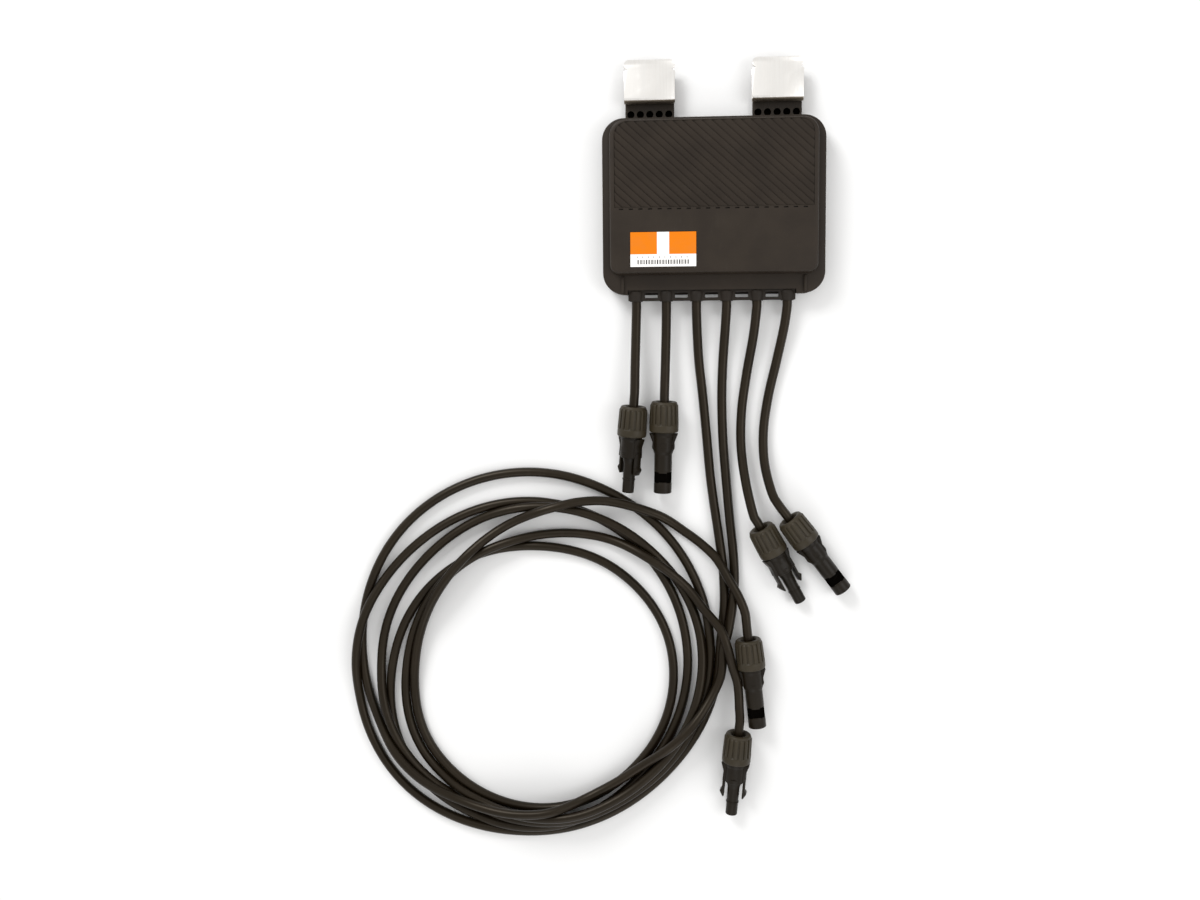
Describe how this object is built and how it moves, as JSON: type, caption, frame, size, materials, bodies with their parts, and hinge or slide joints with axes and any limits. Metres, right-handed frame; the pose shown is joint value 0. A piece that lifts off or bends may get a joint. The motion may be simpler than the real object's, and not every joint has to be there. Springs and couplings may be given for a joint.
{
  "type": "two-module solar panel electronics box",
  "caption": "Flat black electronics box with spring clips for a solar panel frame, a stepped cover with slanted grooves, and plug-ended leads, some long and coiled.",
  "frame": {"origin": "centre of the box and its clips seen from the front, on the flat back face", "axes": "+X across the box, +Y from the lead end towards the frame clips, +Z out of the front cover"},
  "size_m": [0.3301, 0.5076, 0.0229],
  "materials": {
    "board_laminate": "green solder mask",
    "cable_jacket": "smooth satin black jacket",
    "capacitor_case": "blue film capacitor case",
    "case_plastic": "fine moulded texture, warm black",
    "comb_rubber": "dull black",
    "coupler_plastic": "satin black",
    "cover_plastic": "fine moulded texture, warm black",
    "ferrite": "dull grey ferrite",
    "label_film": "orange film with a white band and a white lower strip",
    "nut_plastic": "satin, olive black",
    "package_epoxy": "black moulding compound",
    "screw_steel": "plain steel",
    "seal_rubber": "dull black",
    "spreader_aluminium": "mill finish",
    "spring_steel": "bright rolled spring steel",
    "terminal_nylon": "green nylon",
    "tinned_copper": "tin plating"
  },
  "bodies": {
    "enclosure": {"rear_casing": "case_plastic", "case_gasket": "seal_rubber", "front_cover": "cover_plastic", "rating_label": "label_film", "cable_comb": "comb_rubber", "heat_spreader": "spreader_aluminium", "circuit_board": "board_laminate", "controller_chip": "package_epoxy", "lead_coil": "cable_jacket", "frame_clip_left": "spring_steel", "clip_screw_left": "screw_steel", "power_switch_left": "package_epoxy", "input_capacitor_left": "capacitor_case", "signal_toroid_left": "ferrite", "case_screw_left_upper": "screw_steel", "case_screw_left_lower": "screw_steel", "frame_clip_right": "spring_steel", "clip_screw_right": "screw_steel", "power_switch_right": "package_epoxy", "input_capacitor_right": "capacitor_case", "signal_toroid_right": "ferrite", "case_screw_right_upper": "screw_steel", "case_screw_right_lower": "screw_steel", "terminal_block_left": "terminal_nylon", "terminal_block_middle": "terminal_nylon", "terminal_block_right": "terminal_nylon", "lead_1": "cable_jacket", "lead_2": "cable_jacket", "lead_3_feed": "cable_jacket", "lead_3_tail": "cable_jacket", "lead_4_feed": "cable_jacket", "lead_4_tail": "cable_jacket", "lead_5": "cable_jacket", "lead_6": "cable_jacket", "coupler_body_1": "coupler_plastic", "contact_socket_1": "tinned_copper", "coupler_body_2": "coupler_plastic", "contact_pin_2": "tinned_copper", "coupler_body_3": "coupler_plastic", "contact_pin_3": "tinned_copper", "coupler_body_4": "coupler_plastic", "contact_socket_4": "tinned_copper", "coupler_body_5": "coupler_plastic", "contact_socket_5": "tinned_copper", "coupler_body_6": "coupler_plastic", "contact_pin_6": "tinned_copper"},
    "gland_nut_1": {"gland_nut_1": "nut_plastic"},
    "latch_arm_1a": {"latch_arm_1a": "coupler_plastic"},
    "latch_arm_1b": {"latch_arm_1b": "coupler_plastic"},
    "gland_nut_2": {"gland_nut_2": "nut_plastic"},
    "gland_nut_3": {"gland_nut_3": "nut_plastic"},
    "gland_nut_4": {"gland_nut_4": "nut_plastic"},
    "latch_arm_4a": {"latch_arm_4a": "coupler_plastic"},
    "latch_arm_4b": {"latch_arm_4b": "coupler_plastic"},
    "gland_nut_5": {"gland_nut_5": "nut_plastic"},
    "latch_arm_5a": {"latch_arm_5a": "coupler_plastic"},
    "latch_arm_5b": {"latch_arm_5b": "coupler_plastic"},
    "gland_nut_6": {"gland_nut_6": "nut_plastic"}
  },
  "joints": [
    {"name": "gland_nut_1_turn", "type": "hinge", "parent": "enclosure", "child": "gland_nut_1", "pos_m": [-0.051, -0.1415, 0.01094], "axis": [0.076, 0.9947, 0.0698], "range_deg": [0, 720]},
    {"name": "latch_arm_1a_flex", "type": "hinge", "parent": "enclosure", "child": "latch_arm_1a", "pos_m": [-0.04841, -0.17303, 0.01325], "axis": [0.6711, 0.0007, -0.7413], "range_deg": [0, 5], "stiffness_Nm_per_rad": 0.3},
    {"name": "latch_arm_1b_flex", "type": "hinge", "parent": "enclosure", "child": "latch_arm_1b", "pos_m": [-0.0583, -0.17164, 0.00431], "axis": [-0.6711, -0.0007, 0.7413], "range_deg": [0, 5], "stiffness_Nm_per_rad": 0.3},
    {"name": "gland_nut_2_turn", "type": "hinge", "parent": "enclosure", "child": "gland_nut_2", "pos_m": [-0.0313, -0.1386, 0.01061], "axis": [0.0251, 0.9983, 0.0523], "range_deg": [0, 720]},
    {"name": "gland_nut_3_turn", "type": "hinge", "parent": "enclosure", "child": "gland_nut_3", "pos_m": [0.0224, -0.2934, 0.01028], "axis": [-0.1084, 0.9935, 0.0349], "range_deg": [0, 720]},
    {"name": "gland_nut_4_turn", "type": "hinge", "parent": "enclosure", "child": "gland_nut_4", "pos_m": [0.0164, -0.3562, 0.01127], "axis": [0.0814, 0.9929, 0.0872], "range_deg": [0, 720]},
    {"name": "latch_arm_4a_flex", "type": "hinge", "parent": "enclosure", "child": "latch_arm_4a", "pos_m": [0.02048, -0.3876, 0.0095], "axis": [0.1458, 0.0746, -0.9865], "range_deg": [0, 5], "stiffness_Nm_per_rad": 0.3},
    {"name": "latch_arm_4b_flex", "type": "hinge", "parent": "enclosure", "child": "latch_arm_4b", "pos_m": [0.00727, -0.38636, 0.00764], "axis": [-0.1458, -0.0746, 0.9865], "range_deg": [0, 5], "stiffness_Nm_per_rad": 0.3},
    {"name": "gland_nut_5_turn", "type": "hinge", "parent": "enclosure", "child": "gland_nut_5", "pos_m": [0.03, -0.2199, 0.01208], "axis": [-0.4687, 0.8736, 0.1305], "range_deg": [0, 720]},
    {"name": "latch_arm_5a_flex", "type": "hinge", "parent": "enclosure", "child": "latch_arm_5a", "pos_m": [0.04994, -0.24374, 0.00576], "axis": [-0.3594, -0.0536, -0.9317], "range_deg": [0, 5], "stiffness_Nm_per_rad": 0.3},
    {"name": "latch_arm_5b_flex", "type": "hinge", "parent": "enclosure", "child": "latch_arm_5b", "pos_m": [0.03912, -0.25022, 0.0103], "axis": [0.3594, 0.0536, 0.9317], "range_deg": [0, 5], "stiffness_Nm_per_rad": 0.3},
    {"name": "gland_nut_6_turn", "type": "hinge", "parent": "enclosure", "child": "gland_nut_6", "pos_m": [0.0483, -0.2142, 0.01127], "axis": [-0.598, 0.7967, 0.0872], "range_deg": [0, 720]}
  ]
}
